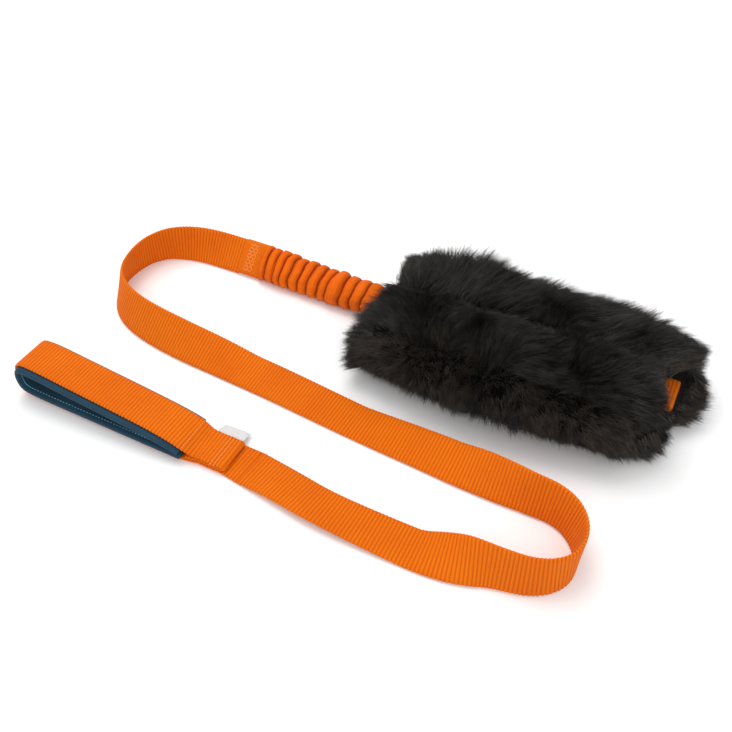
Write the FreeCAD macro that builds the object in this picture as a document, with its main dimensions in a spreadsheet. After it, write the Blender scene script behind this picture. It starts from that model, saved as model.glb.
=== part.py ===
"""Sheepskin chaser toy: padded handle, flat lead, gathered bungee and a sheepskin pad on a webbing core.

Row frame, millimetres: +X runs along the bungee and the pad, +Y across them, +Z up from the floor.
The handle lies at the -X end, parallel to the pad, and the lead runs between them in a flat S.
"""

import FreeCAD, Part
import math
import os

from FreeCAD import Placement, Rotation, Vector

os.makedirs("parts", exist_ok=True)
doc = FreeCAD.newDocument("chaser")

# ---------------------------------------------------------------- driving dimensions
DIMENSIONS = {
    "webbing_width": 25.0,
    "webbing_thick": 2.0,
    "lining_width": 29.0,
    "lining_thick": 3.5,
    "thread_width": 0.8,
    "thread_height": 0.4,
    "stitch_margin": 2.5,
    "handle_axis_y": -90.5,
    "handle_hinge_x": -20.5,
    "fold_end_x": -31.5,
    "overlap_start_x": -60.0,
    "overlap_row_inset": 2.0,
    "overlap_z": 5.0,
    "loop_end_x": -177.5,
    "loop_height": 25.0,
    "lining_end_x": -67.0,
    "lining_seam_end_x": -80.0,
    "lining_seam_inset": 3.0,
    "handle_stitch_margin": 2.0,
    "tag_length": 17.0,
    "tag_reach": 10.0,
    "tag_thick": 0.6,
    "tag_start_x": -49.0,
    "bungee_axis_y": 60.0,
    "bungee_axis_z": 10.5,
    "lead_end_x": -120.5,
    "lead_hem_length": 16.0,
    "lead_hem_thick": 4.0,
    "lead_hem_lean": 45.0,
    "lead_hem_stitch_x": 5.0,
    "sleeve_length": 81.0,
    "sleeve_width": 24.0,
    "sleeve_height": 20.0,
    "sleeve_wall": 3.0,
    "elastic_width": 14.0,
    "elastic_thick": 3.0,
    "body_gap": 0.3,
    "pad_hem_length": 11.0,
    "pad_hem_stitch_x": 3.0,
    "pad_webbing_end_x": 177.5,
    "pad_tail_length": 27.0,
    "hide_start_x": 4.0,
    "hide_length": 174.0,
    "hide_thick": 2.5,
    "hide_start_y": -1.0,
    "hide_width": 92.0,
    "hide_height": 27.0,
    "hide_z": 7.0,
    "wool_start_x": 0.0,
    "wool_length": 182.0,
    "wool_start_y": -19.0,
    "wool_width": 125.0,
    "wool_height": 50.0,
    "groove_y": 53.0,
    "groove_width": 6.0,
    "seam_margin": 6.0,
}

sheet = doc.addObject("Spreadsheet::Sheet", "Sizes")
for row, (alias, value) in enumerate(DIMENSIONS.items(), start=1):
    sheet.set(f"A{row}", alias)
    sheet.set(f"B{row}", str(value))
    sheet.setAlias(f"B{row}", alias)
doc.recompute()


def size(alias):
    return float(sheet.get(alias))


# The lead's centreline from the bungee's hem to the handle: points chosen along the S, x and y.
LEAD_ROUTE = [
    (-120.5, 60.0),
    (-138.0, 59.0),
    (-160.0, 54.0),
    (-179.0, 41.0),
    (-184.0, 18.0),
    (-177.0, -7.0),
    (-157.0, -22.5),
    (-122.0, -28.5),
    (-62.0, -28.0),
    (18.0, -34.5),
    (82.0, -38.5),
    (120.0, -44.5),
    (144.0, -45.5),
    (158.0, -59.0),
    (160.5, -78.0),
    (147.0, -92.0),
    (122.0, -95.5),
    (84.0, -95.0),
    (30.0, -94.0),
    (2.0, -91.5),
    (-19.9, -90.5),
]
# Between these points the lead lies flat; round both bends it stands on its edge.
FLAT_STRETCHES = [(7, 10), (17, 20)]
ARC_SHARE = 0.45
# The loop's round end takes nearly its whole height; the rest is a short upright run.
LOOP_ROUNDNESS = 0.92
# The loop's crowned upper run, x and z, and the widest arc between its slopes.
UPPER_RUN = [(-150.0, 20.0), (-104.0, 16.5), (-66.0, 10.0)]
WIDEST_ARC = 60.0
# The two rows that close the handle's folded end, as distances back from the fold.
END_ROWS = (5.0, 7.5)


# ---------------------------------------------------------------- bands: webbing bent along a path
def corner_radius(before, corner, after):
    """The arc at a corner: ARC_SHARE of the shorter run over the tangent of half the turn."""
    shorter = min((corner - before).Length, (after - corner).Length)
    turn = (corner - before).getAngle(after - corner)
    return ARC_SHARE * shorter / math.tan(turn / 2)


def offset_side(points, radii, offset, normal):
    """Straight runs and tangent arcs, moved sideways by offset to the left of the path."""
    edges = []
    directions = [(b - a).normalize() for a, b in zip(points, points[1:])]
    start = points[0] + normal.cross(directions[0]) * offset
    for i in range(1, len(points) - 1):
        turn = directions[i - 1].getAngle(directions[i])
        left = normal.dot(directions[i - 1].cross(directions[i])) > 0
        reach = radii[i] * math.tan(turn / 2)
        side = 1.0 if left else -1.0
        arc_start = points[i] - directions[i - 1] * reach
        centre = arc_start + normal.cross(directions[i - 1]) * side * radii[i]
        radius = radii[i] - side * offset
        middle = (directions[i - 1] - directions[i]).normalize()
        first = centre - normal.cross(directions[i - 1]) * side * radius
        last = centre - normal.cross(directions[i]) * side * radius
        edges.append(Part.LineSegment(start, first).toShape())
        edges.append(Part.Arc(first, centre + middle * radius, last).toShape())
        start = last
    end = points[-1] + normal.cross(directions[-1]) * offset
    edges.append(Part.LineSegment(start, end).toShape())
    return edges, points[0] + normal.cross(directions[0]) * offset, end


def band(points, radii, low, high, normal, width, start):
    """A closed band between two offsets of a path, width thick along normal from start."""
    near, near_start, near_end = offset_side(points, radii, low, normal)
    far, far_start, far_end = offset_side(points, radii, high, normal)
    caps = [
        Part.LineSegment(near_end, far_end).toShape(),
        Part.LineSegment(near_start, far_start).toShape(),
    ]
    wire = Part.Wire(Part.__sortEdges__(near + far + caps))
    face = Part.Face(wire)
    face.translate(normal * start)
    return face.extrude(normal * width)


def feature(label, shape):
    part = doc.addObject("Part::Feature", label)
    part.Label = label
    part.Shape = shape.removeSplitter() if len(shape.Solids) == 1 else shape
    part.Placement = Placement()
    return part


# ---------------------------------------------------------------- primitives bound to the sheet
def bound(kind, name, values, place=("0", "0", "0")):
    """A Part primitive whose sizes and position are expressions of the sheet."""
    part = doc.addObject(kind, name)
    part.Label = name
    for key, formula in values.items():
        part.setExpression(key, formula)
    for axis, formula in zip("xyz", place):
        part.setExpression(f"Placement.Base.{axis}", formula)
    return part


def box(name, length, width, height, place):
    return bound("Part::Box", name, {"Length": length, "Width": width, "Height": height}, place)


def fuse(name, pieces):
    joined = doc.addObject("Part::MultiFuse", name)
    joined.Label = name
    joined.Shapes = pieces
    joined.Refine = True
    return joined


def cut(name, base, tools):
    """The base less each tool in turn; the last cut carries the name."""
    for number, tool in enumerate(tools):
        last = number == len(tools) - 1
        result = doc.addObject("Part::Cut", name if last else f"{name}_step{number}")
        result.Base = base
        result.Tool = tool
        base = result
    base.Label = name
    return base


def flat_tube(name, start_x, length, start_y, width, start_z, height):
    """A stadium section along X: a box between two half-round sides."""
    radius = f"({height}) / 2"
    middle = box(
        f"{name}_middle",
        length,
        f"{width} - ({height})",
        height,
        (start_x, f"{start_y} + {radius}", start_z),
    )
    sides = []
    for side, centre in (("front", f"{start_y} + {radius}"), ("back", f"{start_y} + {width} - {radius}")):
        round_side = bound(
            "Part::Cylinder",
            f"{name}_{side}",
            {"Radius": radius, "Height": length},
            (start_x, centre, f"{start_z} + {radius}"),
        )
        round_side.Placement.Rotation = Rotation(Vector(0, 1, 0), 90)
        sides.append(round_side)
    return fuse(f"{name}_outline", [middle] + sides)


# ---------------------------------------------------------------- lead
def lead_points():
    return [Vector(x, y, 0) for x, y in LEAD_ROUTE]


def middle_of_run(points, i):
    return (points[i] + points[i + 1]) * 0.5


def make_lead():
    points = lead_points()
    last = len(points) - 1
    radii = [0.0] + [corner_radius(*points[i - 1 : i + 2]) for i in range(1, last)] + [0.0]
    print("lead arc radii:", ", ".join(f"{r:.0f}" for r in radii[1:-1]))
    marks = sorted(i for stretch in FLAT_STRETCHES for i in stretch if i < last)
    starts = [0] + marks
    ends = marks + [last]
    pieces = []
    length = 0.0
    for start, end in zip(starts, ends):
        flat = (start, end) in FLAT_STRETCHES
        first = points[0] if start == 0 else middle_of_run(points, start)
        final = points[last] if end == last else middle_of_run(points, end)
        stretch = [first] + points[start + 1 : (last if end == last else end + 1)] + [final]
        stretch_radii = [0.0] + radii[start + 1 : (last if end == last else end + 1)] + [0.0]
        across = size("webbing_width") if flat else size("webbing_thick")
        tall = size("webbing_thick") if flat else size("webbing_width")
        solid = band(stretch, stretch_radii, -across / 2, across / 2, Vector(0, 0, 1), tall, 0.0)
        pieces.append(solid)
        length += solid.Volume / (across * tall)
    shape = pieces[0].fuse(pieces[1:])
    section = size("webbing_width") * size("webbing_thick")
    print(f"lead length {length:.0f} mm")
    print(f"lead volume over section times length {shape.Volume / (section * length):.3f}")
    return feature("lead_webbing", shape)


# ---------------------------------------------------------------- handle
def handle_path(start_x, end_x):
    """The loop's centreline: the lower run, the round end and the crowned upper run down to end_x."""
    half = size("webbing_thick") / 2
    left = size("loop_end_x")
    top = size("loop_height") - half
    points = [Vector(start_x, 0, half), Vector(left, 0, half), Vector(left, 0, top)]
    for x, z in UPPER_RUN:
        if x < end_x:
            points.append(Vector(x, 0, z))
    before = points[-1]
    after = next(p for p in UPPER_RUN + [(end_x, size("overlap_z"))] if p[0] >= end_x)
    share = (end_x - before.x) / (after[0] - before.x) if after[0] > before.x else 1.0
    points.append(Vector(end_x, 0, before.z + share * (after[1] - before.z)))
    return points


def path_radii(points):
    loop_radius = (size("loop_height") - size("webbing_thick")) / 2
    radii = [0.0]
    for i in range(1, len(points) - 1):
        free = corner_radius(*points[i - 1 : i + 2])
        radii.append(loop_radius * LOOP_ROUNDNESS if i <= 2 else min(free, WIDEST_ARC))
    return radii + [0.0]


def handle_band(start_x, end_x, low, high, width, inset=0.0):
    """A band along the loop; offsets count inwards from the webbing's centreline."""
    points = handle_path(start_x, end_x)
    start_y = size("handle_axis_y") - size("lining_width") / 2 + inset
    normal = Vector(0, 1, 0)
    return band(points, path_radii(points), low, high, normal, width, start_y)


def make_handle():
    half = size("webbing_thick") / 2
    width = size("webbing_width")
    inset = (size("lining_width") - width) / 2
    near_y = size("handle_axis_y") - width / 2
    fold_x = size("fold_end_x")
    start_x = size("overlap_start_x")
    loop = handle_band(size("handle_hinge_x"), start_x + 1.0, -half, half, width, inset)
    layers = 2 * size("webbing_thick")
    doubled = Part.makeBox(fold_x - half * 2 - start_x, width, layers, Vector(start_x, near_y, 2 * half))
    fold = Part.makeCylinder(2 * half, width, Vector(fold_x - 2 * half, near_y, 4 * half), Vector(0, 1, 0))
    feature("handle_webbing", loop.fuse([doubled, fold]))

    inner = half + size("lining_thick")
    lining_end = size("lining_end_x")
    feature("handle_lining", handle_band(lining_end, lining_end, half, inner, size("lining_width")))

    seam_end = size("lining_seam_end_x")
    seam = size("thread_width")
    inset = size("lining_seam_inset")
    for label, place in (("near", inset), ("far", size("lining_width") - inset - seam)):
        shape = handle_band(seam_end, seam_end, inner, inner + size("thread_height"), seam, place)
        feature(f"lining_seam_{label}", shape)


def make_handle_stitches():
    low_y = "Sizes.handle_axis_y - Sizes.webbing_width / 2 + Sizes.handle_stitch_margin"
    length_y = "Sizes.webbing_width - 2 * Sizes.handle_stitch_margin"
    top_z = "Sizes.webbing_thick * 3"
    thread = ("Sizes.thread_width", length_y, "Sizes.thread_height")
    box("stitch_row_inner", *thread, ("Sizes.overlap_start_x + Sizes.overlap_row_inset", low_y, top_z))
    rows = []
    for number, back in enumerate(END_ROWS):
        rows.append(box(f"end_row_{number}", *thread, (f"Sizes.fold_end_x - {back}", low_y, top_z)))
    pair = doc.addObject("Part::Compound", "stitch_rows_end")
    pair.Label = "stitch_rows_end"
    pair.Links = rows
    far_y = "Sizes.handle_axis_y + Sizes.webbing_width / 2 + Sizes.body_gap"
    tag_z = "Sizes.webbing_thick * 2 - Sizes.tag_thick / 2"
    tag_place = ("Sizes.tag_start_x", far_y, tag_z)
    box("side_tag", "Sizes.tag_length", "Sizes.tag_reach", "Sizes.tag_thick", tag_place)


# ---------------------------------------------------------------- bungee
SLEEVE_X = "Sizes.lead_end_x + Sizes.lead_hem_length"
PAD_HEM_X = f"{SLEEVE_X} + Sizes.sleeve_length + Sizes.body_gap"
PAD_STRAP_X = f"{PAD_HEM_X} + Sizes.pad_hem_length + Sizes.body_gap"
FLAT_STRAP_Z = "Sizes.bungee_axis_z - Sizes.webbing_thick / 2"
FLAT_STITCH_Z = f"{FLAT_STRAP_Z} + Sizes.webbing_thick"
STITCH_Y = "Sizes.bungee_axis_y - Sizes.webbing_width / 2 + Sizes.stitch_margin"
STITCH_WIDTH = "Sizes.webbing_width - 2 * Sizes.stitch_margin"


def leaning_box(name, length, margin, thick, start_x, above):
    """A box on the lead's hem, leaning with it about the bungee's axis, above its middle plane."""
    solid = doc.addObject("Part::Box", name)
    solid.Label = name
    solid.setExpression("Length", length)
    solid.setExpression("Width", f"Sizes.webbing_width - 2 * {margin}")
    solid.setExpression("Height", thick)
    lean = Rotation(Vector(1, 0, 0), size("lead_hem_lean"))
    corner = lean.multVec(Vector(0, margin - size("webbing_width") / 2, above))
    centre = Vector(start_x, size("bungee_axis_y"), size("bungee_axis_z"))
    solid.Placement = Placement(centre + corner, lean)


def ellipse_tube(name, major, minor):
    """An elliptical bar along X at the bungee's place, its half widths given by formulas."""
    outline = doc.addObject("Part::Ellipse", f"{name}_outline")
    outline.setExpression("MajorRadius", major)
    outline.setExpression("MinorRadius", minor)
    start_x = size("lead_end_x") + size("lead_hem_length")
    # The ellipse's own X goes to +Y of the row and its own Y to +Z.
    turn = Rotation(Vector(0, 1, 0), Vector(0, 0, 1), Vector(1, 0, 0), "ZXY")
    outline.Placement = Placement(Vector(start_x, size("bungee_axis_y"), size("bungee_axis_z")), turn)
    bar = doc.addObject("Part::Extrusion", name)
    bar.Base = outline
    bar.DirMode = "Custom"
    bar.Dir = Vector(1, 0, 0)
    bar.Solid = True
    bar.setExpression("LengthFwd", "Sizes.sleeve_length")
    return bar


def make_bungee():
    lead_end = size("lead_end_x")
    half_hem = size("lead_hem_thick") / 2
    leaning_box("sleeve_hem_lead", "Sizes.lead_hem_length", 0.0, "Sizes.lead_hem_thick", lead_end, -half_hem)
    length = "Sizes.thread_width * 6"
    margin = size("stitch_margin")
    start_x = lead_end + size("lead_hem_stitch_x")
    leaning_box("zigzag_stitch_lead", length, margin, "Sizes.thread_height", start_x, half_hem)

    outside = ellipse_tube("sleeve_outside", "Sizes.sleeve_width / 2", "Sizes.sleeve_height / 2")
    inside = ellipse_tube(
        "sleeve_inside",
        "Sizes.sleeve_width / 2 - Sizes.sleeve_wall",
        "Sizes.sleeve_height / 2 - Sizes.sleeve_wall",
    )
    cut("bungee_sleeve", outside, [inside])
    box(
        "bungee_elastic",
        "Sizes.sleeve_length",
        "Sizes.elastic_width",
        "Sizes.elastic_thick",
        (
            SLEEVE_X,
            "Sizes.bungee_axis_y - Sizes.elastic_width / 2",
            "Sizes.bungee_axis_z - Sizes.elastic_thick / 2",
        ),
    )

    box(
        "sleeve_hem_pad",
        "Sizes.pad_hem_length",
        "Sizes.webbing_width",
        "Sizes.webbing_thick",
        (PAD_HEM_X, "Sizes.bungee_axis_y - Sizes.webbing_width / 2", FLAT_STRAP_Z),
    )
    box(
        "zigzag_stitch_pad",
        "Sizes.thread_width * 4",
        STITCH_WIDTH,
        "Sizes.thread_height",
        (f"{PAD_HEM_X} + Sizes.pad_hem_stitch_x", STITCH_Y, FLAT_STITCH_Z),
    )


# ---------------------------------------------------------------- pad
def make_pad():
    low_y = "Sizes.bungee_axis_y - Sizes.webbing_width / 2"
    strap = box(
        "pad_strap",
        f"Sizes.pad_webbing_end_x - ({PAD_STRAP_X}) - Sizes.webbing_thick",
        "Sizes.webbing_width",
        "Sizes.webbing_thick",
        (PAD_STRAP_X, low_y, FLAT_STRAP_Z),
    )
    tail = box(
        "pad_strap_tail",
        "Sizes.pad_tail_length",
        "Sizes.webbing_width",
        "Sizes.webbing_thick",
        (
            "Sizes.pad_webbing_end_x - Sizes.webbing_thick - Sizes.pad_tail_length",
            low_y,
            f"{FLAT_STRAP_Z} + Sizes.webbing_thick",
        ),
    )
    fold = bound(
        "Part::Cylinder",
        "pad_strap_fold",
        {"Radius": "Sizes.webbing_thick", "Height": "Sizes.webbing_width"},
        (
            "Sizes.pad_webbing_end_x - Sizes.webbing_thick",
            "Sizes.bungee_axis_y + Sizes.webbing_width / 2",
            f"{FLAT_STRAP_Z} + Sizes.webbing_thick",
        ),
    )
    fold.Placement.Rotation = Rotation(Vector(1, 0, 0), 90)
    fuse("pad_webbing", [strap, tail, fold])

    hide_outside = flat_tube(
        "hide_outside",
        "Sizes.hide_start_x",
        "Sizes.hide_length",
        "Sizes.hide_start_y",
        "Sizes.hide_width",
        "Sizes.hide_z",
        "Sizes.hide_height",
    )
    hide_inside = flat_tube(
        "hide_inside",
        "Sizes.hide_start_x",
        "Sizes.hide_length",
        "Sizes.hide_start_y + Sizes.hide_thick",
        "Sizes.hide_width - 2 * Sizes.hide_thick",
        "Sizes.hide_z + Sizes.hide_thick",
        "Sizes.hide_height - 2 * Sizes.hide_thick",
    )
    cut("sheepskin_hide", hide_outside, [hide_inside])

    wool_outside = flat_tube(
        "wool_outside",
        "Sizes.wool_start_x",
        "Sizes.wool_length",
        "Sizes.wool_start_y",
        "Sizes.wool_width",
        "0",
        "Sizes.wool_height",
    )
    wool_bore = flat_tube(
        "wool_bore",
        "Sizes.wool_start_x - 1",
        "Sizes.wool_length + 2",
        "Sizes.hide_start_y",
        "Sizes.hide_width",
        "Sizes.hide_z",
        "Sizes.hide_height",
    )
    groove = box(
        "wool_groove",
        "Sizes.wool_length + 2",
        "Sizes.groove_width",
        "Sizes.wool_height",
        (
            "Sizes.wool_start_x - 1",
            "Sizes.groove_y - Sizes.groove_width / 2",
            "Sizes.hide_z + Sizes.hide_height",
        ),
    )
    cut("wool_pile", wool_outside, [wool_bore, groove])

    box(
        "hide_seam",
        "Sizes.hide_length - 2 * Sizes.seam_margin",
        "Sizes.thread_width * 2",
        "Sizes.thread_height",
        (
            "Sizes.hide_start_x + Sizes.seam_margin",
            "Sizes.groove_y - Sizes.thread_width",
            "Sizes.hide_z + Sizes.hide_height",
        ),
    )
    near_x = "Sizes.hide_start_x + Sizes.seam_margin"
    far_x = "Sizes.pad_webbing_end_x - Sizes.pad_tail_length - Sizes.seam_margin * 2"
    for name, start_x in (("anchor_stitch_near", near_x), ("anchor_stitch_far", far_x)):
        place = (start_x, STITCH_Y, FLAT_STITCH_Z)
        box(name, "Sizes.thread_width * 2", STITCH_WIDTH, "Sizes.thread_height", place)


# ---------------------------------------------------------------- build, check, write
NODES = [
    "lead_webbing",
    "handle_webbing",
    "handle_lining",
    "lining_seam_near",
    "lining_seam_far",
    "stitch_row_inner",
    "stitch_rows_end",
    "side_tag",
    "sleeve_hem_lead",
    "zigzag_stitch_lead",
    "bungee_sleeve",
    "bungee_elastic",
    "sleeve_hem_pad",
    "zigzag_stitch_pad",
    "pad_webbing",
    "sheepskin_hide",
    "wool_pile",
    "hide_seam",
    "anchor_stitch_near",
    "anchor_stitch_far",
]

make_lead()
make_handle()
make_handle_stitches()
make_bungee()
make_pad()
doc.recompute()

for part in doc.Objects:
    if {"Invalid", "Error"} & set(part.State):
        raise RuntimeError(f"{part.Name} did not recompute: {part.State}")
for node in NODES:
    shape = doc.getObjectsByLabel(node)[0].Shape
    if shape.isNull() or not shape.isValid() or not shape.Solids:
        raise RuntimeError(f"{node} has no valid solid")
    shape.exportStep(f"parts/{node}.step")
    ends = shape.BoundBox
    across = f"x {ends.XMin:.1f} {ends.XMax:.1f}, y {ends.YMin:.1f} {ends.YMax:.1f}"
    upward = f"z {ends.ZMin:.1f} {ends.ZMax:.1f}"
    print(f"{node}: {len(shape.Solids)} solid, {shape.Volume:.0f} mm3, {across}, {upward}")
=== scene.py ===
import math

import bpy
import numpy as np
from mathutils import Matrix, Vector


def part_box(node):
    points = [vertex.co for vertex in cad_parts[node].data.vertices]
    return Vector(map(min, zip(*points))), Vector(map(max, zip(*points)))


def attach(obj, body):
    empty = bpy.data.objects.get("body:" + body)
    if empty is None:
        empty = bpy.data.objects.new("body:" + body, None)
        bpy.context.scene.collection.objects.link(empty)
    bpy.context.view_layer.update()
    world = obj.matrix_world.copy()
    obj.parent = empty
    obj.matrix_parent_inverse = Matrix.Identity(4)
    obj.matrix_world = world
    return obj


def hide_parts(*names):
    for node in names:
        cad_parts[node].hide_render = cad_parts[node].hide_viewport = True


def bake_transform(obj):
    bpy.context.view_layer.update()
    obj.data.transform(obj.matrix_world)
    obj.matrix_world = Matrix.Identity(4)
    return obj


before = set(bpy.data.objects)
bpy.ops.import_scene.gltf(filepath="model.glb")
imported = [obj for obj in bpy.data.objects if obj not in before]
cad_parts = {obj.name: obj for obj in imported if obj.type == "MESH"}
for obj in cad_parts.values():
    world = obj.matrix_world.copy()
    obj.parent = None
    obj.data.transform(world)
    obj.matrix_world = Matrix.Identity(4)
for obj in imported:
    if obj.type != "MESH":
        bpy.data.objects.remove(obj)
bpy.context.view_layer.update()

MM = 0.001
X, Y, Z = np.eye(3)
rng = np.random.default_rng(11)

# ------------------------------------------------------------------ sizes, from the frame
WEBBING_WIDTH = 25 * MM
WEBBING_THICK = 2 * MM
RIB_PITCH = 2.1 * MM
handle_low, handle_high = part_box("handle_webbing")
lining_low, lining_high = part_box("handle_lining")
sleeve_low, sleeve_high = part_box("bungee_sleeve")
hem_low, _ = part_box("sleeve_hem_lead")
pad_hem_low, pad_hem_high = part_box("sleeve_hem_pad")
core_low, core_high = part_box("pad_webbing")
hide_low, hide_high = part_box("sheepskin_hide")
tag_low, tag_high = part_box("side_tag")
HANDLE_Y = (handle_low[1] + handle_high[1]) / 2
BUNGEE_Y = (core_low[1] + core_high[1]) / 2
BUNGEE_Z = (sleeve_low[2] + sleeve_high[2]) / 2
HEM_LEAN = 45.0


# ------------------------------------------------------------------ materials
def principled(name, color, roughness, sheen=0.0):
    """A material, its node tree and its Principled shader."""
    mat = bpy.data.materials.new(name)
    mat.use_nodes = True
    tree = mat.node_tree
    shader = tree.nodes["Principled BSDF"]
    shader.inputs["Base Color"].default_value = (*color, 1)
    shader.inputs["Roughness"].default_value = roughness
    shader.inputs["Sheen Weight"].default_value = sheen
    return mat, tree, shader


def node(tree, kind, **values):
    """A new node, each value set on the input of that name or else on the node itself."""
    made = tree.nodes.new(kind)
    for key, value in values.items():
        if key in made.inputs:
            made.inputs[key].default_value = value
        else:
            setattr(made, key, value)
    return made


def coordinates(tree, output, scale):
    """The named texture coordinate, scaled along its own axes."""
    source = node(tree, "ShaderNodeTexCoord")
    mapping = node(tree, "ShaderNodeMapping")
    mapping.inputs["Scale"].default_value = scale
    tree.links.new(source.outputs[output], mapping.inputs["Vector"])
    return mapping.outputs["Vector"]


def colour_ramp(tree, factor, stops):
    """The colour that a ramp of (place, colour) stops gives the factor."""
    ramp = node(tree, "ShaderNodeValToRGB")
    for i, (place, color) in enumerate(stops):
        element = ramp.color_ramp.elements[i] if i < 2 else ramp.color_ramp.elements.new(place)
        element.position = place
        element.color = (*color, 1)
    tree.links.new(factor, ramp.inputs["Fac"])
    return ramp.outputs["Color"]


def bump(tree, shader, heights, distance, strength=1.0):
    """Adds one height after another to the shader's normal."""
    normal = None
    for height in heights:
        made = node(tree, "ShaderNodeBump", Distance=distance, Strength=strength)
        tree.links.new(height, made.inputs["Height"])
        if normal:
            tree.links.new(normal, made.inputs["Normal"])
        normal = made.outputs["Normal"]
    tree.links.new(normal, shader.inputs["Normal"])


def webbing_material(name, groove, dark, light, sharpness, yarns=1500.0):
    """Woven cloth: ribs one UV unit apart with painted shade in the grooves between them, yarns along the
    strap, mottled dye.
    """
    mat, tree, shader = principled(name, light, 0.62)
    shader.inputs["Specular IOR Level"].default_value = 0.12
    source = node(tree, "ShaderNodeTexCoord")
    split = node(tree, "ShaderNodeSeparateXYZ")
    tree.links.new(source.outputs["UV"], split.inputs["Vector"])
    phase = node(tree, "ShaderNodeMath", operation="MULTIPLY")
    phase.inputs[1].default_value = math.pi
    tree.links.new(split.outputs["Y"], phase.inputs[0])
    wave = node(tree, "ShaderNodeMath", operation="SINE")
    tree.links.new(phase.outputs["Value"], wave.inputs[0])
    ridge = node(tree, "ShaderNodeMath", operation="ABSOLUTE")
    tree.links.new(wave.outputs["Value"], ridge.inputs[0])
    height = node(tree, "ShaderNodeMath", operation="POWER")
    height.inputs[1].default_value = sharpness
    tree.links.new(ridge.outputs["Value"], height.inputs[0])

    along = coordinates(tree, "UV", (yarns, 1.2, 1))
    yarn = node(tree, "ShaderNodeTexWave", Scale=1.0, Distortion=1.6, Detail=2.0)
    yarn.bands_direction = "X"
    tree.links.new(along, yarn.inputs["Vector"])
    fine = node(tree, "ShaderNodeTexNoise", Scale=900.0, Detail=3.0)
    broad = node(tree, "ShaderNodeTexNoise", Scale=34.0, Detail=3.0)
    place = coordinates(tree, "Object", (1, 1, 1))
    for texture in (fine, broad):
        tree.links.new(place, texture.inputs["Vector"])
    tone = node(tree, "ShaderNodeMath", operation="MULTIPLY_ADD")
    tone.inputs[1].default_value = 0.35
    tree.links.new(yarn.outputs["Fac"], tone.inputs[0])
    tree.links.new(broad.outputs["Fac"], tone.inputs[2])
    dyed = colour_ramp(tree, tone.outputs["Value"], [(0.25, dark), (0.85, light)])
    mix = node(tree, "ShaderNodeMix", data_type="RGBA")
    # Of a mix node's sockets, these three are the colours.
    color_a, color_b, color_out = mix.inputs[6], mix.inputs[7], mix.outputs[2]
    # The groove colour is painted shade, laid where the ribs dip between their crowns.
    color_a.default_value = (*groove, 1)
    tree.links.new(height.outputs["Value"], mix.inputs["Factor"])
    tree.links.new(dyed, color_b)
    tree.links.new(color_out, shader.inputs["Base Color"])
    rough = node(tree, "ShaderNodeMapRange")
    rough.inputs["To Min"].default_value = 0.5
    rough.inputs["To Max"].default_value = 0.75
    tree.links.new(fine.outputs["Fac"], rough.inputs["Value"])
    tree.links.new(rough.outputs["Result"], shader.inputs["Roughness"])
    bump(tree, shader, [yarn.outputs["Fac"], fine.outputs["Fac"]], 0.00012, 0.6)
    return mat


def knit_material(name, dark, light, scale, distance):
    """A fine knit or suede: cells for the surface and noise for the colour."""
    mat, tree, shader = principled(name, light, 0.8, sheen=0.04)
    shader.inputs["Specular IOR Level"].default_value = 0.3
    place = coordinates(tree, "Object", (1, 1, 1))
    cells = node(tree, "ShaderNodeTexVoronoi", Scale=scale)
    mottle = node(tree, "ShaderNodeTexNoise", Scale=60.0, Detail=4.0)
    for texture in (cells, mottle):
        tree.links.new(place, texture.inputs["Vector"])
    color = colour_ramp(tree, mottle.outputs["Fac"], [(0.3, dark), (0.75, light)])
    tree.links.new(color, shader.inputs["Base Color"])
    rough = node(tree, "ShaderNodeMapRange")
    rough.inputs["To Min"].default_value = 0.7
    rough.inputs["To Max"].default_value = 0.92
    tree.links.new(mottle.outputs["Fac"], rough.inputs["Value"])
    tree.links.new(rough.outputs["Result"], shader.inputs["Roughness"])
    bump(tree, shader, [cells.outputs["Distance"]], distance, 0.5)
    return mat


def wool_material(name, dark, light, shine):
    """Dull fibres whose colour drifts from lock to lock."""
    mat, tree, shader = principled(name, dark, 0.55)
    shader.inputs["Specular IOR Level"].default_value = shine
    place = coordinates(tree, "Object", (1, 1, 1))
    locks = node(tree, "ShaderNodeTexNoise", Scale=70.0, Detail=6.0, Roughness=0.7)
    tree.links.new(place, locks.inputs["Vector"])
    color = colour_ramp(tree, locks.outputs["Fac"], [(0.38, dark), (0.68, light)])
    tree.links.new(color, shader.inputs["Base Color"])
    rough = node(tree, "ShaderNodeMapRange")
    rough.inputs["To Min"].default_value = 0.45
    rough.inputs["To Max"].default_value = 0.75
    tree.links.new(locks.outputs["Fac"], rough.inputs["Value"])
    tree.links.new(rough.outputs["Result"], shader.inputs["Roughness"])
    return mat


# Painted shade in the grooves between the webbing's ribs.
RIB_GROOVE_SHADE = (0.56, 0.074, 0.0008)
THREAD_YARNS = 4000.0
webbing = webbing_material("ribbed webbing", RIB_GROOVE_SHADE, (0.80, 0.139, 0.0010), (0.91, 0.197, 0.0016), 0.55)
# The gathered webbing's first colour, far darker, is painted shade in the creases between the sleeve's
# folds.
gathered = webbing_material(
    "gathered webbing", (0.24, 0.018, 0.0006), (0.80, 0.112, 0.0012), (0.91, 0.168, 0.002), 0.42
)
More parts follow.
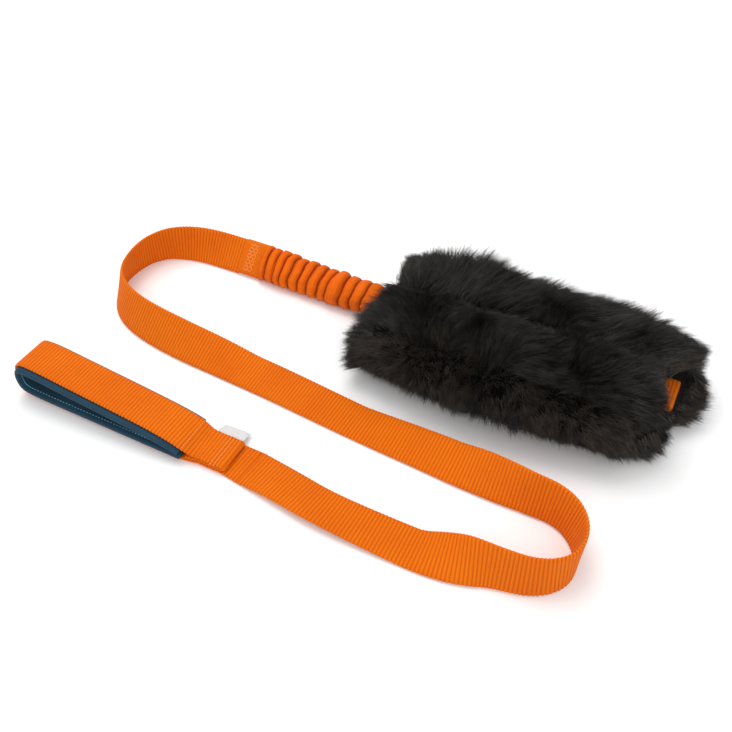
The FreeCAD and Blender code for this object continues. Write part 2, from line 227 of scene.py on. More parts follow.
# For the orange, blue and dark threads the first colour is painted shade at each stitch's ends, where the
# thread dips into the cloth.
orange_thread = webbing_material(
    "orange thread", (0.90, 0.25, 0.04), (0.95, 0.30, 0.06), (1.0, 0.40, 0.11), 1.0, THREAD_YARNS
)
lining_knit = knit_material("padded lining", (0.006, 0.034, 0.062), (0.012, 0.056, 0.096), 1900.0, 0.00015)
blue_thread = webbing_material(
    "blue thread", (0.08, 0.34, 0.50), (0.10, 0.38, 0.56), (0.22, 0.58, 0.76), 1.0, THREAD_YARNS
)
tag_satin = webbing_material(
    "tag satin", (0.80, 0.80, 0.79), (0.84, 0.84, 0.83), (0.92, 0.92, 0.91), 1.0, 3500.0
)
suede = knit_material("suede side", (0.006, 0.0045, 0.004), (0.014, 0.011, 0.009), 1200.0, 0.0002)
elastic_cover = knit_material("covered elastic", (0.02, 0.02, 0.02), (0.05, 0.05, 0.05), 1500.0, 0.0002)
# The undercoat's colour is painted shade: far darker than the black wool, it shows in the gaps between the
# locks.
shaded_undercoat_wool = wool_material(
    "wool, undercoat, painted shade", (0.0015, 0.0013, 0.0011), (0.0035, 0.003, 0.0026), 0.02
)
wool_black = wool_material("wool, black", (0.0088, 0.0075, 0.0064), (0.045, 0.0385, 0.0318), 0.5)
wool_brown = wool_material(
    "wool, brown tips", (0.0105, 0.0085, 0.0068), (0.062, 0.0470, 0.0350), 0.5
)
dark_thread = webbing_material(
    "dark thread", (0.01, 0.01, 0.01), (0.015, 0.015, 0.015), (0.03, 0.03, 0.03), 1.0, THREAD_YARNS
)


# ------------------------------------------------------------------ mesh helpers
def unit(v):
    """The vectors scaled to length one."""
    return v / np.maximum(np.linalg.norm(v, axis=-1, keepdims=True), 1e-12)


def bell(value, centre, width):
    """A smooth bump: one at its centre, and next to nothing two widths away."""
    return np.exp(-(((value - centre) / width) ** 2))


def make_object(name, points, faces, mat, uv=None, smooth=True):
    """One mesh object from arrays of points and faces; uv is one pair per point."""
    mesh = bpy.data.meshes.new(name)
    faces = [f if isinstance(f, np.ndarray) else np.asarray(f) for f in faces]
    mesh.vertices.add(len(points))
    mesh.vertices.foreach_set("co", np.asarray(points, np.float32).ravel())
    corners = np.concatenate([f.ravel() for f in faces])
    totals = np.concatenate([np.full(len(f), f.shape[1]) for f in faces])
    mesh.loops.add(len(corners))
    mesh.loops.foreach_set("vertex_index", corners.astype(np.int32))
    mesh.polygons.add(len(totals))
    starts = np.concatenate([[0], np.cumsum(totals)[:-1]]).astype(np.int32)
    mesh.polygons.foreach_set("loop_start", starts)
    mesh.polygons.foreach_set("use_smooth", np.full(len(totals), smooth))
    if uv is not None:
        layer = mesh.uv_layers.new(name="strap")
        layer.data.foreach_set("uv", np.asarray(uv, np.float32)[corners].ravel())
    mesh.update(calc_edges=True)
    mesh.validate()
    made = bpy.data.objects.new(name, mesh)
    bpy.context.scene.collection.objects.link(made)
    mesh.materials.append(mat)
    return made


def grid_faces(rows, columns, closed=True, offset=0):
    """Quads between neighbouring rows of points, each row a loop if closed."""
    i = np.arange(rows - 1)[:, None]
    j = np.arange(columns if closed else columns - 1)[None, :]
    k = (j + 1) % columns
    quads = np.stack([i * columns + j, i * columns + k, (i + 1) * columns + k, (i + 1) * columns + j], -1)
    return quads.reshape(-1, 4) + offset


def cap_faces(rows, columns):
    """The two end faces of a closed tube of points."""
    first = np.arange(columns)[::-1][None, :]
    last = ((rows - 1) * columns + np.arange(columns))[None, :]
    return [first, last]


def shell_faces(rows, columns):
    """Faces of a tube with a wall: an outer grid, an inner grid after it, and a rim at each end."""
    inner = rows * columns
    j = np.arange(columns)
    k = (j + 1) % columns
    last = inner - columns
    start = np.stack([j, j + inner, k + inner, k], -1)
    end = np.stack([last + k, last + k + inner, last + j + inner, last + j], -1)
    return [grid_faces(rows, columns), grid_faces(rows, columns, offset=inner)[:, ::-1], start, end]


def arc_lengths(points):
    """Each point's distance along the line of points."""
    steps = np.linalg.norm(np.diff(points, axis=0), axis=1)
    return np.concatenate([[0], np.cumsum(steps)])


def resample(points, spacing):
    """Points evenly spaced along a line of points, and their distances along it."""
    along = arc_lengths(points)
    count = max(3, int(round(along[-1] / spacing)) + 1)
    wanted = np.linspace(0, along[-1], count)
    return np.stack([np.interp(wanted, along, points[:, k]) for k in range(3)], 1), wanted


def smooth_line(control, resolution=40):
    """Points along the NURBS spline with these control points, as Blender draws it."""
    curve = bpy.data.curves.new("route", "CURVE")
    curve.dimensions = "3D"
    curve.resolution_u = resolution
    spline = curve.splines.new("NURBS")
    spline.points.add(len(control) - 1)
    for point, place in zip(spline.points, control):
        point.co = (*place, 1)
    spline.order_u = 3
    spline.use_endpoint_u = True
    holder = bpy.data.objects.new("route", curve)
    bpy.context.scene.collection.objects.link(holder)
    bpy.context.view_layer.update()
    mesh = bpy.data.meshes.new_from_object(holder)
    points = np.array([v.co[:] for v in mesh.vertices])
    bpy.data.objects.remove(holder)
    bpy.data.curves.remove(curve)
    bpy.data.meshes.remove(mesh)
    return points


def strap(
    name, points, along, across, mat, width, thick,
    rib=0.34 * MM, pitch=RIB_PITCH, rounding=24, sides=11,
):
    """A flat strap with cross ribs on its centreline points; across is its width direction there."""
    tangent = unit(np.gradient(points, axis=0))
    across = unit(across - (across * tangent).sum(1, keepdims=True) * tangent)
    normal = np.cross(across, tangent)
    ridge = np.abs(np.sin(np.pi * along / pitch)) ** 0.6
    u = np.sin(np.linspace(-np.pi / 2, np.pi / 2, sides))
    rim = np.sqrt(np.clip(1 - np.abs(u) ** rounding, 0, 1))
    loop_u = np.concatenate([u, u[-2:0:-1]])
    loop_side = np.concatenate([np.ones(sides), -np.ones(sides - 2)])
    loop_rim = np.concatenate([rim, rim[-2:0:-1]])
    half = np.broadcast_to(thick, along.shape) / 2 - rib
    height = (half + rib * ridge)[:, None] * (loop_rim * loop_side)[None, :]
    half_wide = np.broadcast_to(width, along.shape) / 2 - rib * (1 - ridge) * 1.2
    reach = loop_u[None, :] * half_wide[:, None]
    body = points[:, None, :] + across[:, None, :] * reach[..., None]
    body = body + normal[:, None, :] * height[..., None]
    rows, columns = height.shape
    uv = np.stack(np.broadcast_arrays(reach, along[:, None] / pitch), -1)
    faces = [grid_faces(rows, columns)] + cap_faces(rows, columns)
    return make_object(name, body.reshape(-1, 3), faces, mat, uv.reshape(-1, 2))


def stitches(name, places, directions, normals, length, radius, mat, rings=5, sides=6):
    """Separate stitches: each a small thread that rises out of the cloth and dips back in."""
    places, directions, normals = (np.asarray(a, float) for a in (places, directions, normals))
    directions = unit(directions)
    normals = unit(normals - (normals * directions).sum(1, keepdims=True) * directions)
    sideways = np.cross(directions, normals)
    t = np.linspace(-1, 1, rings)
    lift = radius * (0.55 - 1.1 * t**2)
    girth = radius * (1 - 0.45 * np.abs(t) ** 3)
    angle = np.linspace(0, 2 * np.pi, sides, endpoint=False)
    spine = places[:, None] + directions[:, None] * (t * length / 2)[None, :, None]
    spine = spine + normals[:, None] * lift[None, :, None]
    ring = normals[:, None, None] * np.cos(angle)[None, None, :, None]
    ring = ring + sideways[:, None, None] * np.sin(angle)[None, None, :, None]
    points = spine[:, :, None] + ring * girth[None, :, None, None]
    count = len(places)
    single = [grid_faces(rings, sides)] + cap_faces(rings, sides)
    faces = [np.concatenate([f + i * rings * sides for i in range(count)]) for f in single]
    uv = np.zeros((count, rings, sides, 2))
    uv[..., 0] = (angle / 6.0 * radius)[None, None, :]
    uv[..., 1] = (t * 0.35 + 0.5)[None, :, None]
    return make_object(name, points.reshape(-1, 3), faces, mat, uv.reshape(-1, 2))


# ------------------------------------------------------------------ stage, lights, camera
def make_stage():
    """The pale floor, soft light and the camera."""
    scene = bpy.context.scene
    paper, _, _ = principled("studio floor", (0.97, 0.97, 0.97), 0.9)
    corners = [(-3, -3, 0), (3, -3, 0), (3, 3, 0), (-3, 3, 0)]
    floor = make_object("floor", corners, [np.array([[0, 1, 2, 3]])], paper)
    world = bpy.data.worlds.new("studio")
    scene.world = world
    world.use_nodes = True
    background = world.node_tree.nodes["Background"]
    background.inputs["Color"].default_value = (1, 1, 1, 1)
    background.inputs["Strength"].default_value = 0.82
    for name, place, power, width in (
        ("key", (-0.5, 0.35, 1.3), 9.0, 0.9),
        ("fill", (0.7, -0.9, 1.0), 4.0, 1.2),
    ):
        light = bpy.data.lights.new(name, "AREA")
        light.energy = power
        light.size = width
        holder = bpy.data.objects.new(name, light)
        holder.location = place
        away = np.array(place)
        tilt = math.acos(away[2] / np.linalg.norm(away))
        holder.rotation_euler = (tilt, 0, math.atan2(away[0], -away[1]))
        scene.collection.objects.link(holder)
    scene.view_settings.view_transform = "Standard"

    camera = bpy.data.cameras.new("camera")
    camera.lens = 41.07
    camera.sensor_width = 36.0
    camera.clip_start = 0.01
    holder = bpy.data.objects.new("camera", camera)
    distance, elevation, azimuth = 0.5212, math.radians(45), math.radians(27)
    aim = np.array([0.0005, 0.01075, 0.0])
    level = np.array([math.sin(azimuth), -math.cos(azimuth), 0])
    back = level * math.cos(elevation) + Z * math.sin(elevation)
    holder.location = aim + back * distance
    holder.rotation_euler = (math.pi / 2 - elevation, 0, azimuth)
    scene.collection.objects.link(holder)
    scene.camera = holder


# ------------------------------------------------------------------ lead
# The lead's centreline in millimetres, x and y, from the bungee's hem to the handle.
LEAD_ROUTE = [
    (-120.5, 60.0),
    (-138.0, 59.0),
    (-160.0, 54.0),
    (-179.0, 41.0),
    (-184.0, 18.0),
    (-177.0, -7.0),
    (-157.0, -22.5),
    (-122.0, -28.5),
    (-62.0, -28.0),
    (18.0, -34.5),
    (82.0, -38.5),
    (120.0, -44.5),
    (144.0, -45.5),
    (158.0, -59.0),
    (160.5, -78.0),
    (147.0, -92.0),
    (122.0, -95.5),
    (84.0, -97.0),
    (30.0, -97.0),
    (2.0, -92.8),
    (-19.9, -90.5),
]
# Its lean from upright in degrees at places counted along the points above; negative leans to the
# right of the way from the bungee to the handle, and beyond 90 the near edge is off the floor.
LEAD_LEAN = [
    (0.0, -46),
    (1.0, -38),
    (2.0, -22),
    (3.0, 0),
    (4.0, 10),
    (5.0, 15),
    (6.0, 31),
    (7.0, 48),
    (8.0, 80),
    (9.0, 87),
    (10.0, 68),
    (11.0, 30),
    (12.0, 20),
    (13.0, 10),
    (14.0, -3),
    (15.0, -14),
    (16.0, -25),
    (16.5, -62),
    (17.0, -90),
    (18.0, -98),
    (19.0, -96),
    (20.0, -90),
]


def resting_height(lean):
    """The height of a leaning strap's centreline when its low edge is on the floor."""
    edge = WEBBING_WIDTH / 2 * np.abs(np.cos(lean))
    face = WEBBING_THICK / 2 * np.abs(np.sin(lean))
    return edge + face + 0.1 * MM


def make_lead():
    """The webbing lead on its route, leaning as it lies."""
    route = np.array(LEAD_ROUTE)
    places, leans = np.array(LEAD_LEAN).T
    lean = np.radians(np.interp(np.arange(len(route)), places, leans))
    control = np.column_stack([route * MM, resting_height(lean)])
    line = smooth_line(control)
    points, along = resample(line, RIB_PITCH / 6)
    # Each control point's count belongs to the nearest point of the line.
    nearest = np.array([np.argmin(((points[:, :2] - c[:2]) ** 2).sum(1)) for c in control])
    count_here = np.interp(along, along[nearest], np.arange(len(route)))
    lean_here = np.radians(np.interp(count_here, places, leans))
    window = np.hanning(61)
    padded = np.pad(lean_here, 30, mode="edge")
    lean_here = np.convolve(padded, window / window.sum(), mode="valid")
    points[:, 2] = resting_height(lean_here)
    tangent = unit(np.gradient(points, axis=0))
    left = np.cross(Z, tangent)
    across = Z[None] * np.cos(lean_here)[:, None] + left * np.sin(lean_here)[:, None]
    lead = strap("lead_strap", points, along, across, webbing, WEBBING_WIDTH, WEBBING_THICK)
    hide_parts("lead_webbing")
    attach(lead, "lead")


# ------------------------------------------------------------------ handle
# The loop's centreline, x and z in millimetres: lower run, round end, upper run, overlap, tail.
LOOP = [
    (-16.5, 1.0), (-60.0, 1.1), (-120.0, 1.1), (-158.0, 1.1), (-173.0, 2.2),
    (-176.4, 12.0), (-173.6, 23.4), (-160.0, 23.4), (-139.0, 20.8), (-100.0, 16.5),
    (-74.0, 13.2), (-58.5, 9.8), (-52.5, 6.0), (-47.0, 5.1), (-36.0, 5.1),
]
# The strap's end turned under the loop's closure, the same way.
FOLD = [(-31.0, 5.2), (-31.0, 3.0), (-36.0, 3.1), (-56.0, 3.1)]
LINING_THICK = 3.5 * MM
LINING_END_X = -57.5 * MM
LINING_SEAM_END_X = -64 * MM
SEAM_ROW_X = -57.0 * MM
END_ROWS_X = (-38.5 * MM, -36.2 * MM)
END_ROWS_Z = 6.15 * MM


def loop_line(control, offset=0.0, spacing=RIB_PITCH / 6):
    """The loop as points at the handle's middle, moved inwards by offset, and its inward normals."""
    line = smooth_line([(x * MM, HANDLE_Y, z * MM) for x, z in control])
    points, _ = resample(line, spacing)
    tangent = unit(np.gradient(points, axis=0))
    inward = np.cross(Y[None], tangent)
    return points + inward * offset, inward, tangent


def make_handle():
    """The hand loop's strap, its soft lining and the two seams that hold the lining."""
    points, inward, tangent = loop_line(LOOP + FOLD)
    along = arc_lengths(points)
    across = np.broadcast_to(Y, points.shape)
    # Its first few millimetres are thin and lie inside the lead's end, where the two are one strap.
    thick = WEBBING_THICK * np.interp(along, [3.2 * MM, 4.2 * MM], [0.5, 1.0])
    # Above its lining the strap is drawn in a little at its near edge, and more where it is sewn down.
    drawn = np.clip((points[:, 2] - 6 * MM) / (8 * MM), 0, 1)
    sewn = np.clip((points[:, 0] + 58 * MM) / (10 * MM), 0, 1)
    second_half = np.arange(len(points)) > len(points) // 2
    upper = second_half * sewn
    lower = ~second_half * sewn * np.clip((-20 * MM - points[:, 0]) / (12 * MM), 0, 1)
    width = WEBBING_WIDTH - (0.8 * drawn + 2.8 * upper + 1.6 * lower) * MM
    shift = (0.7 * drawn + 0.6 * upper + 0.9 * lower) * MM
    loop = strap("handle_strap", points + Y * shift[:, None], along, across, webbing, width, thick)
    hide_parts("handle_webbing")
    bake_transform(loop)

    thick = LINING_THICK
    width = lining_high[1] - lining_low[1]
    middle, inward, _ = loop_line(LOOP, 0.0, 0.8 * MM)
    centre = middle + inward * (WEBBING_THICK / 2 + thick / 2)
    centre = centre[middle[:, 0] < LINING_END_X]
    lining = strap(
        "loop_lining", centre, arc_lengths(centre), np.broadcast_to(Y, centre.shape), lining_knit,
        width, thick, rib=0.0, rounding=14, sides=21,
    )
    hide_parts("handle_lining")
    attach(lining, "handle")

    inner, inward, tangent = loop_line(LOOP, WEBBING_THICK / 2 + thick, 2.2 * MM)
    kept = inner[:, 0] < LINING_SEAM_END_X
    for label, side in (("near", -1), ("far", 1)):
        places = inner[kept] + Y * side * (width / 2 - 3 * MM) - inward[kept] * 0.12 * MM
        row = stitches(
            f"lining_stitches_{label}", places, tangent[kept], inward[kept], 1.5 * MM, 0.26 * MM, blue_thread
        )
        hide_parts(f"lining_seam_{label}")
        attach(row, "handle")


def cross_row(x, z, zigzag, count):
    """Places and directions of a stitch row across the handle."""
    ys = np.linspace(HANDLE_Y - 10.8 * MM, HANDLE_Y + 10.8 * MM, count)
    turn = np.where(np.arange(count) % 2 == 0, 1, -1) * zigzag
    places = np.column_stack([np.full(count, x), ys, np.full(count, z)])
    directions = np.column_stack([turn, np.ones(count), np.zeros(count)])
    return places, directions


def make_handle_stitches():
    """The row across the loop where its sides meet, and the two rows at the closure's end."""
    line, _, _ = loop_line(LOOP)
    upper = line[len(line) // 2 :]
    row_z = np.interp(SEAM_ROW_X, upper[:, 0], upper[:, 2]) + WEBBING_THICK / 2 + 0.1 * MM
    places, directions = cross_row(SEAM_ROW_X, row_z, 0.25, 13)
    normals = np.broadcast_to(Z, places.shape)
    row = stitches("seam_row_inner", places, directions, normals, 1.5 * MM, 0.24 * MM, orange_thread)
    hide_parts("stitch_row_inner")
    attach(row, "handle")
    both = [cross_row(x, END_ROWS_Z, 0.35, 13) for x in END_ROWS_X]
    places = np.concatenate([b[0] for b in both])
    directions = np.concatenate([b[1] for b in both])
    normals = np.broadcast_to(Z, places.shape)
    row = stitches("seam_rows_end", places, directions, normals, 1.6 * MM, 0.24 * MM, orange_thread)
    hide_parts("stitch_rows_end")
    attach(row, "handle")


def make_tag():
    """A blank woven label, folded double and sewn into the handle's far edge."""
    length = tag_high[0] - tag_low[0]
    reach = tag_high[1] - tag_low[1]
    rows, columns = 25, 17
    u, v = np.meshgrid(np.linspace(0, 1, rows), np.linspace(0, 1, columns), indexing="ij")
    x = tag_low[0] + length * u
    y = tag_low[1] + 0.8 * reach * v * (1 - 0.02 * np.cos(u * np.pi)) - 0.6 * MM
    z = tag_high[2] - 0.4 * MM + 0.4 * MM * np.sin(u * 2.6) * v - 2.4 * MM * v**2
    half = 0.22 * MM
    upper = np.stack([x, y, z + half], -1).reshape(-1, 3)
    lower = np.stack([x, y, z - half], -1).reshape(-1, 3)
    uv = np.stack([x, y], -1).reshape(-1, 2)
    top = grid_faces(rows, columns, closed=False)
    under = top[:, ::-1] + rows * columns
    rim = np.concatenate([
        np.arange(columns), np.arange(1, rows) * columns + columns - 1,
        (rows - 1) * columns + np.arange(columns - 2, -1, -1), np.arange(rows - 2, 0, -1) * columns,
    ])
    following = np.roll(rim, -1)
    walls = np.stack([rim, rim + rows * columns, following + rows * columns, following], -1)
    points = np.concatenate([upper, lower])
    tag = make_object("blank_tag", points, [top, under, walls], tag_satin, np.concatenate([uv, uv]))
    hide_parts("side_tag")
    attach(tag, "tag")


# ------------------------------------------------------------------ bungee
SLEEVE_FOLDS = 12
SLEEVE_HALF_WIDE = 11.9 * MM
# How far the sleeve runs past its CAD box, under the pad's wool.
SLEEVE_TUCK = 9 * MM


def make_lead_hem():
    """The lead's end doubled over the flattened end of the sleeve, and its zigzag stitching."""
    spacing = 0.35 * MM
    count = int((sleeve_low[0] - hem_low[0] + 3 * MM) / spacing)
    xs = hem_low[0] + 0.2 * MM + np.arange(count) * spacing
    lean = math.radians(HEM_LEAN)
    leaning = Y * math.sin(lean) + Z * math.cos(lean)
    # The hem's low edge rests on the floor, as the lead's does where it leaves.
    hem_z = resting_height(lean) + 0.8 * MM
    centre = np.column_stack([xs, np.full(count, BUNGEE_Y), np.full(count, hem_z)])
    hem = strap(
        "lead_hem", centre, xs - xs[0], np.broadcast_to(leaning, centre.shape), webbing,
        WEBBING_WIDTH - 0.4 * MM, 3.6 * MM, rib=0.1 * MM, pitch=RIB_PITCH / 2, rounding=16,
    )
    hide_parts("sleeve_hem_lead")
    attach(hem, "lead")
    outward = np.array([0, -math.cos(lean), math.sin(lean)])
    face = np.array([0, BUNGEE_Y, hem_z]) + outward * 1.75 * MM
    places, directions = [], []
    for row in range(4):
        for i in range(9):
            across = (i / 8 - 0.5) * 17.5 * MM
            places.append(face + leaning * across + X * (hem_low[0] + (4.6 + row * 1.7) * MM))
            directions.append(leaning + X * (0.9 if (i + row) % 2 else -0.9))
    normals = np.broadcast_to(outward, (len(places), 3))
    zigzag = stitches("zigzag_lead", places, directions, normals, 2.7 * MM, 0.26 * MM, orange_thread)
    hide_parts("zigzag_stitch_lead")
    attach(zigzag, "lead")


def make_bungee():
    """The gathered sleeve and the elastic inside it."""
    x0, x1 = sleeve_low[0], sleeve_high[0]
    length = x1 - x0

    # Uneven folds with sharp creases, each slanted its own way.
    folds = SLEEVE_FOLDS
    widths = rng.uniform(0.93, 1.08, folds) * np.linspace(0.85, 1.15, folds)
    edges = np.concatenate([[0], np.cumsum(widths)]) / widths.sum()
    slants = rng.uniform(-0.06, 0.20, folds + 1)
    swells = rng.uniform(0.85, 1.15, folds)
    reach = length + SLEEVE_TUCK
    rows, columns = 480, 84
    s = np.linspace(0, 1, rows)[:, None]
    angle = np.linspace(0, 2 * np.pi, columns, endpoint=False)[None, :]
    shift = 0.006 * np.sin(angle * 2 + 0.7) + 0.003 * np.sin(angle * 5 + s * 9)
    slant = np.interp(s, edges, slants)
    shift = shift + 0.16 * slant * np.sin(angle - 0.6)
    place = np.clip(s + shift * np.sin(np.pi * s) ** 0.3, 0, 1)
    fold = np.clip(np.searchsorted(edges, place, side="right") - 1, 0, folds - 1)
    inside = (place - edges[fold]) / (edges[fold + 1] - edges[fold])
    crown = (1 - np.abs(2 * inside - 1) ** 3.2) ** 0.5
    ribs = np.abs(np.sin(inside * np.pi * 5)) ** 0.8
    puckers = 0.22 * MM * np.sin(angle * 9 + fold * 1.7) * np.sin(angle * 4 + fold)
    radius_in = 3.0 * MM * (1 - crown * swells[fold]) - 0.34 * MM * ribs - puckers * crown
    flat_start = np.clip(s / 0.06, 0, 1)
    flat_end = np.clip((1 - s) / 0.12, 0, 1)
    full = (flat_start * flat_end) ** 0.5
    half_wide = (SLEEVE_HALF_WIDE - radius_in) * (0.9 + 0.1 * flat_end)
    half_tall = (2.4 + 5.6 * full) * MM - radius_in * (0.3 + 0.7 * full)
    squareness = 2.3
    ca, sa = np.cos(angle), np.sin(angle)
    round_wide = np.sign(ca) * np.abs(ca) ** (2 / squareness)
    round_tall = np.sign(sa) * np.abs(sa) ** (2 / squareness)
    roll = np.radians(np.interp(s, [0, 0.25, 1], [HEM_LEAN, 30, 6]))
    wide, tall = round_wide * half_wide, round_tall * half_tall
    y = BUNGEE_Y + wide * np.cos(roll) - tall * np.sin(roll)
    z = wide * np.sin(roll) + tall * np.cos(roll)
    # It rests on the floor and rises to the strap's height where it enters the pad.
    entering = BUNGEE_Z * np.interp(s, [0.55, 0.95], [0.6, 1.0])
    middle = np.maximum(entering, -z.min(axis=1, keepdims=True) + 0.3 * MM)
    x = x0 + reach * s + 0 * angle
    points = np.stack([x, y, z + middle], -1).reshape(-1, 3)
    # The second UV coordinate runs one unit per fold, so the gathered webbing's painted crease shade falls
    # between the folds.
    uv = np.stack([np.broadcast_to(angle * 10 * MM, x.shape), fold + inside], -1).reshape(-1, 2)
    inside_wide = wide * 0.88
    inside_tall = tall - np.sign(tall) * np.minimum(np.abs(tall) * 0.5, 1.0 * MM)
    inner_y = BUNGEE_Y + inside_wide * np.cos(roll) - inside_tall * np.sin(roll)
    inner_z = inside_wide * np.sin(roll) + inside_tall * np.cos(roll) + middle
    inner = np.stack([x, inner_y, inner_z], -1).reshape(-1, 3)
    sleeve = make_object(
        "gathered_sleeve", np.concatenate([points, inner]), shell_faces(rows, columns), gathered,
        np.concatenate([uv, uv]),
    )
    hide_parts("bungee_sleeve")
    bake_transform(sleeve)

    count = 160
    xs = np.linspace(x0 + 5 * MM, x1, count)
    centre = np.column_stack([xs, np.full(count, BUNGEE_Y), np.interp(xs, x[:, 0], middle[:, 0])])
    turn = np.interp(xs, x[:, 0], roll[:, 0])[:, None]
    across = Y * np.cos(turn) + Z * np.sin(turn)
    elastic = strap(
        "elastic_band", centre, xs - x0, across, elastic_cover, 12 * MM, 3 * MM,
        rib=0.2 * MM, pitch=1.4 * MM,
    )
    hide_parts("bungee_elastic")
    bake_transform(elastic)


def make_pad_core():
    """The pad's webbing from the sleeve's end to its folded tip in the open mouth."""
    z = BUNGEE_Z
    tip = core_high[0] + 0.5 * MM
    folded = z + 2.1 * MM
    control = [
        (pad_hem_low[0], z), (20 * MM, z), (90 * MM, z), (tip - 8 * MM, z),
        (tip - 0.2 * MM, z), (tip, folded), (tip - 8 * MM, folded), (tip - 27 * MM, folded),
    ]
    line = smooth_line([(x, BUNGEE_Y, height) for x, height in control])
    points, along = resample(line, RIB_PITCH / 6)
    across = np.broadcast_to(Y, points.shape)
    core = strap("core_strap", points, along, across, webbing, WEBBING_WIDTH, WEBBING_THICK)
    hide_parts("sleeve_hem_pad", "pad_webbing")
    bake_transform(core)

    places, directions = [], []
    for row in range(3):
        for i in range(12):
            across = (i / 11 - 0.5) * 18 * MM
            places.append((pad_hem_low[0] + (3 + row * 1.4) * MM, BUNGEE_Y + across, z + 1.05 * MM))
            directions.append((0.7 if (i + row) % 2 else -0.7, 1, 0))
    normals = np.broadcast_to(Z, (len(places), 3))
    zigzag = stitches("zigzag_pad", places, directions, normals, 1.7 * MM, 0.2 * MM, orange_thread)
    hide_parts("zigzag_stitch_pad")
    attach(zigzag, "bungee_end")
    for label in ("near", "far"):
        low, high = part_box(f"anchor_stitch_{label}")
        ys = np.linspace(low[1], high[1], 10)
        places = [((low[0] + high[0]) / 2, y, z + 1.05 * MM) for y in ys]
        row = stitches(f"anchor_row_{label}", places, [Y] * 10, [Z] * 10, 1.7 * MM, 0.24 * MM, dark_thread)
        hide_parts(f"anchor_stitch_{label}")
        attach(row, "pad")


# ------------------------------------------------------------------ sheepskin
PAD_Y = (hide_low[1] + hide_high[1]) / 2
PAD_Z = (hide_low[2] + hide_high[2]) / 2
PAD_HALF_WIDE = (hide_high[1] - hide_low[1]) / 2
PAD_HALF_TALL = (hide_high[2] - hide_low[2]) / 2
OUTLINE_POWER = 2.4
# Across the pad: the parting over its seam, the mouth over the webbing's tip, its shortest wool, and
# the notch between the mouth and the near corner.
GROOVE_Y = 53 * MM
MOUTH_Y = 53 * MM
LIP_Y = 49 * MM
NOTCH_Y = 38 * MM
PILE = 17.5 * MM


def pad_section(angle, inset=0.0):
    """The folded hide's outline across X: y, z and the outward normal at each angle."""
    wide, tall = PAD_HALF_WIDE - inset, PAD_HALF_TALL - inset
    c, s = np.cos(angle), np.sin(angle)
    cy = np.sign(c) * np.abs(c) ** (2 / OUTLINE_POWER)
    sz = np.sign(s) * np.abs(s) ** (2 / OUTLINE_POWER)
    ny = np.sign(cy) * np.abs(cy) ** (OUTLINE_POWER - 1) / wide
    nz = np.sign(sz) * np.abs(sz) ** (OUTLINE_POWER - 1) / tall
    size = np.hypot(ny, nz)
    return PAD_Y + wide * cy, PAD_Z + tall * sz, ny / size, nz / size


def open_end(y, z):
    """Where the hide ends at the open mouth. Both corners are rounded off, the upper layer is cut
    back over the webbing's folded tip, and the lower layer has a notch."""
    near = np.clip((80 * MM - y) / (80 * MM), 0, 1.1)
    far = np.clip((y - 66 * MM) / (26 * MM), 0, 1)
    notch = 4 * MM * bell(y, NOTCH_Y, 10 * MM)
    upper = np.clip((z - hide_low[2]) / (hide_high[2] - hide_low[2]), 0, 1) ** 1.3
    mouth = 12.5 * MM * bell(y, MOUTH_Y, 22 * MM) + 8 * MM
    corners = (8.0 - 33 * near**2.8 - 10 * far**2) * MM
    return hide_high[0] + corners - mouth * upper - notch * (1 - upper)


def make_hide():
    """The hide as a folded tube with suede inside, and the seam that closes it."""
    rows, columns = 60, 120
    angle = np.linspace(0, 2 * np.pi, columns, endpoint=False)
    share = np.linspace(0, 1, rows)[:, None]
    layers = []
    for inset in (0.0, 2.5 * MM):
        y, z, _, _ = pad_section(angle, inset)
        x = hide_low[0] + share * (open_end(y, z)[None, :] - hide_low[0])
        layers.append(np.stack([x, np.broadcast_to(y, x.shape), np.broadcast_to(z, x.shape)], -1))
    points = np.concatenate([layer.reshape(-1, 3) for layer in layers])
    hide = make_object("folded_hide", points, shell_faces(rows, columns), suede)
    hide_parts("sheepskin_hide")
    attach(hide, "pad")

    count = 58
    xs = np.linspace(hide_low[0] + 6 * MM, hide_high[0] - 14 * MM, count)
    places = np.column_stack([xs, np.full(count, GROOVE_Y), np.full(count, hide_high[2] - 0.1 * MM)])
    ways, normals = np.tile(X, (count, 1)), np.tile(Z, (count, 1))
    seam = stitches("hide_seam_stitches", places, ways, normals, 2.2 * MM, 0.3 * MM, dark_thread)
    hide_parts("hide_seam")
    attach(seam, "pad")


def lumps(points, seed, scale):
    """Smooth unevenness from a few waves, between about -1 and 1."""
    waves = np.random.default_rng(seed)
    total = np.zeros(points.shape[:-1])
    for _ in range(6):
        way = waves.normal(size=3) * scale
        total += np.sin(points @ way + waves.uniform(0, 6.28))
    return total / 3


def make_undercoat():
    """The dense wool next to the hide, coloured far darker than the locks as painted shade between them."""
    rows, columns = 140, 220
    angle = np.linspace(0, 2 * np.pi, columns, endpoint=False)[None, :]
    share = np.linspace(0, 1, rows)[:, None]
    y, z, ny, nz = pad_section(angle)
    end = open_end(y, z) - 3 * MM
    x = hide_low[0] - 3 * MM + share * (end + 3 * MM - hide_low[0])
    rise = (1 - np.abs(2 * share - 1) ** 14) ** 0.5
    spots = np.stack(np.broadcast_arrays(x, y, z), -1)
    depth = 6 * MM + 1.2 * MM * lumps(spots, 5, 160) + 0.6 * MM * lumps(spots, 6, 420)
    groove = bell(y, GROOVE_Y, 5 * MM) * (nz > 0)
    under = np.clip(-nz, 0, 1)
    depth = depth * (1 - 0.7 * groove) * (1 - 0.45 * under) * rise
    points = spots + np.stack([0 * x, ny * depth, nz * depth], -1)
    points[..., 2] = np.maximum(points[..., 2], 0.6 * MM)
    coat = make_object("wool_undercoat", points.reshape(-1, 3), [grid_faces(rows, columns)], shaded_undercoat_wool)
    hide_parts("wool_pile")
    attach(coat, "pad")


